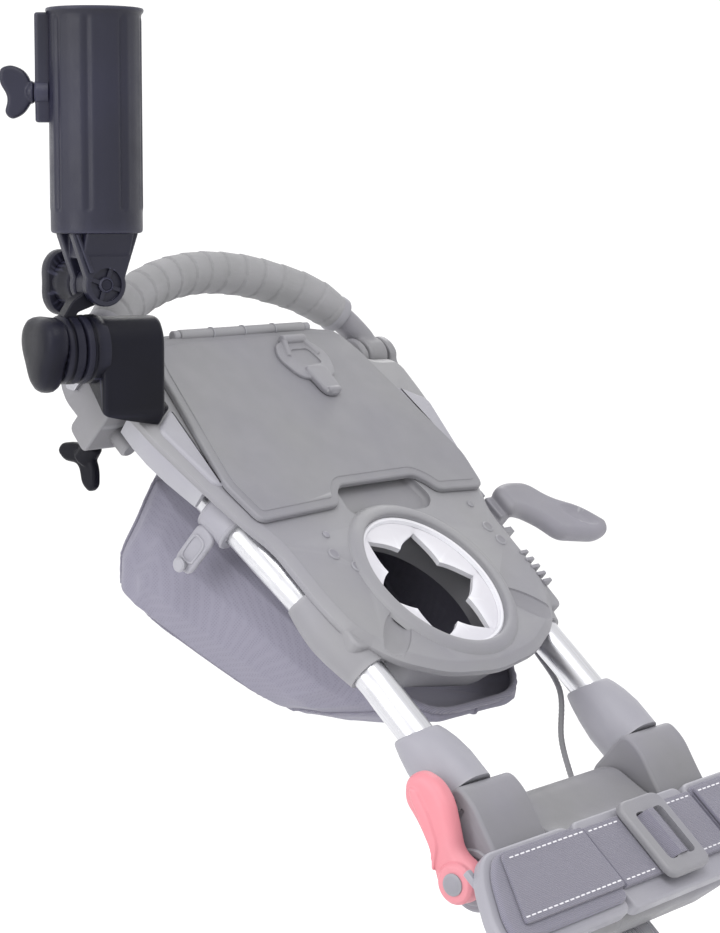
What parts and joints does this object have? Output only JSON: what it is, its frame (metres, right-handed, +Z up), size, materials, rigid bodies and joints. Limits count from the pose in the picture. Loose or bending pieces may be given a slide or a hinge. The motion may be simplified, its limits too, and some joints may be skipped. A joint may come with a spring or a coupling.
{
  "type": "golf push cart",
  "caption": "Folding three-wheel push cart for a golf bag, with a console, net pocket, curved handle, bag saddle and a tilting umbrella holder clamped to the console corner.",
  "frame": {"origin": "middle of the bounding footprint, on the floor plane", "axes": "+Z up, +Y towards the user's handle (the cart travels towards -Y), +X the brake-lever side"},
  "size_m": [0.642, 1.0396, 1.1925],
  "materials": {
    "shell": "fine grain, mid grey",
    "shell_dark": "fine grain, darker grey",
    "tube": "satin anodised",
    "steel": "brushed",
    "insert": "soft matt light grey",
    "foam": "soft foam, matt",
    "net": "knitted mesh",
    "coral": "satin coral red",
    "black": "satin black with a blue sheen",
    "strap": "woven webbing with light stitching",
    "tyre": "matt rubber"
  },
  "bodies": {
    "lower_frame": {"main_tube": "tube", "hinge_block": "shell_dark", "hinge_pin": "steel", "saddle_centre": "shell", "strap_centre": "strap", "strap_buckle": "shell_dark", "leg_hub": "shell_dark", "leg_pivot_pin": "steel", "lower_cradle": "shell_dark", "lower_strap": "strap", "front_fork": "shell_dark", "front_axle": "steel"},
    "upper_frame": {"upper_tube_left": "tube", "upper_tube_right": "tube", "boot_left": "shell_dark", "boot_right": "shell_dark", "cheek_left": "shell_dark", "cheek_right": "shell_dark", "saddle_wing_left": "shell", "saddle_wing_right": "shell", "saddle_pad_left": "strap", "saddle_pad_right": "strap", "strap_left": "strap", "strap_right": "strap", "console_base": "shell", "star_insert": "insert", "handle_bracket_left": "shell_dark", "handle_bracket_right": "shell_dark", "handle_bolt_left": "steel", "handle_bolt_right": "steel", "brake_bracket": "shell_dark", "brake_pivot_pin": "steel", "brake_cable": "shell_dark", "net_bag": "net", "bag_hook_left": "shell_dark", "bag_hook_right": "shell_dark", "umbrella_mount": "black"},
    "latch": {"latch_lever": "coral"},
    "lid": {"console_lid": "shell"},
    "clip": {"scorecard_clip": "shell"},
    "handle": {"handle_bow": "shell_dark", "handle_grip": "foam"},
    "brake_lever": {"brake_lever": "shell_dark"},
    "umbrella_head": {"swivel_head": "black"},
    "umbrella_cup": {"umbrella_cup": "black"},
    "umbrella_grip": {"umbrella_grip_screw": "black"},
    "tilt_knob": {"tilt_knob": "black"},
    "swivel_knob": {"swivel_knob": "black"},
    "wing_bolt": {"mount_wing_bolt": "black"},
    "leg_left": {"leg_left": "tube"},
    "leg_right": {"leg_right": "tube", "brake_block": "shell_dark"},
    "brake_pad": {"brake_pad": "coral"},
    "wheel_front": {"front_rim": "shell", "front_tyre": "tyre"},
    "wheel_left": {"rear_rim_left": "shell", "rear_tyre_left": "tyre"},
    "wheel_right": {"rear_rim_right": "shell", "rear_tyre_right": "tyre"}
  },
  "joints": [
    {"name": "main_fold", "type": "hinge", "parent": "lower_frame", "child": "upper_frame", "pos_m": [0, 0.20329, 0.70578], "axis": [1, 0, 0], "range_deg": [0, 150], "deforming": ["brake_cable"]},
    {"name": "latch_turn", "type": "hinge", "parent": "upper_frame", "child": "latch", "pos_m": [0, 0.20329, 0.70578], "axis": [1, 0, 0], "range_deg": [0, 35]},
    {"name": "handle_angle", "type": "hinge", "parent": "upper_frame", "child": "handle", "pos_m": [0, 0.47364, 0.97342], "axis": [1, 0, 0], "range_deg": [-15, 15]},
    {"name": "lid_hinge", "type": "hinge", "parent": "upper_frame", "child": "lid", "pos_m": [0, 0.47187, 0.99631], "axis": [-1, 0, 0], "range_deg": [0, 90]},
    {"name": "clip_press", "type": "hinge", "parent": "lid", "child": "clip", "pos_m": [0, 0.45875, 0.98996], "axis": [-1, 0, 0], "range_deg": [0, 12], "stiffness_Nm_per_rad": 0.5, "springref_deg": -2.86},
    {"name": "brake_lever_lift", "type": "hinge", "parent": "upper_frame", "child": "brake_lever", "pos_m": [0.1215, 0.36202, 0.87023], "axis": [0, -0.7431, -0.6691], "range_deg": [0, 25]},
    {"name": "brake_pad_slide", "type": "slide", "parent": "leg_right", "child": "brake_pad", "axis": [0, 0.6356, -0.772], "range_m": [0, 0.0045]},
    {"name": "umbrella_swivel", "type": "hinge", "parent": "upper_frame", "child": "umbrella_head", "pos_m": [-0.158, 0.44564, 0.994], "axis": [0.9317, -0.3633, 0], "range_deg": [-8, 50]},
    {"name": "umbrella_tilt", "type": "hinge", "parent": "umbrella_head", "child": "umbrella_cup", "pos_m": [-0.158, 0.44564, 1.032], "axis": [-0.3633, -0.9317, 0], "range_deg": [-25, 40]},
    {"name": "cup_screw_turn", "type": "hinge", "parent": "umbrella_cup", "child": "umbrella_grip", "pos_m": [-0.158, 0.44564, 1.144], "axis": [-0.6428, 0.766, 0], "range_deg": [-180, 180]},
    {"name": "tilt_knob_turn", "type": "hinge", "parent": "umbrella_head", "child": "tilt_knob", "pos_m": [-0.158, 0.44564, 1.032], "axis": [0.3633, 0.9317, 0], "range_deg": [-180, 180]},
    {"name": "swivel_knob_turn", "type": "hinge", "parent": "upper_frame", "child": "swivel_knob", "pos_m": [-0.158, 0.44564, 0.994], "axis": [-0.9317, 0.3633, 0], "range_deg": [-180, 180]},
    {"name": "wing_bolt_turn", "type": "hinge", "parent": "upper_frame", "child": "wing_bolt", "pos_m": [-0.136, 0.47692, 0.92793], "axis": [0, 0.6691, -0.7431], "range_deg": [-180, 180]},
    {"name": "leg_fold_left", "type": "hinge", "parent": "lower_frame", "child": "leg_left", "pos_m": [-0.047, 0.05966, 0.49167], "axis": [-1, 0, 0], "range_deg": [0, 80]},
    {"name": "leg_fold_right", "type": "hinge", "parent": "lower_frame", "child": "leg_right", "pos_m": [0.047, 0.05966, 0.49167], "axis": [-1, 0, 0], "range_deg": [0, 80]},
    {"name": "front_wheel_spin", "type": "hinge", "parent": "lower_frame", "child": "wheel_front", "pos_m": [0, -0.37546, 0.1443], "axis": [1, 0, 0], "continuous": true},
    {"name": "left_wheel_spin", "type": "hinge", "parent": "leg_left", "child": "wheel_left", "pos_m": [-0.29, 0.34564, 0.1443], "axis": [1, 0, 0], "continuous": true},
    {"name": "right_wheel_spin", "type": "hinge", "parent": "leg_right", "child": "wheel_right", "pos_m": [0.29, 0.34564, 0.1443], "axis": [1, 0, 0], "continuous": true}
  ],
  "couplings": [
    {"joint": "brake_pad_slide", "follows": "brake_lever_lift", "m_per_rad": 0.009626},
    {"joint": "leg_fold_right", "follows": "leg_fold_left", "ratio": 1}
  ]
}
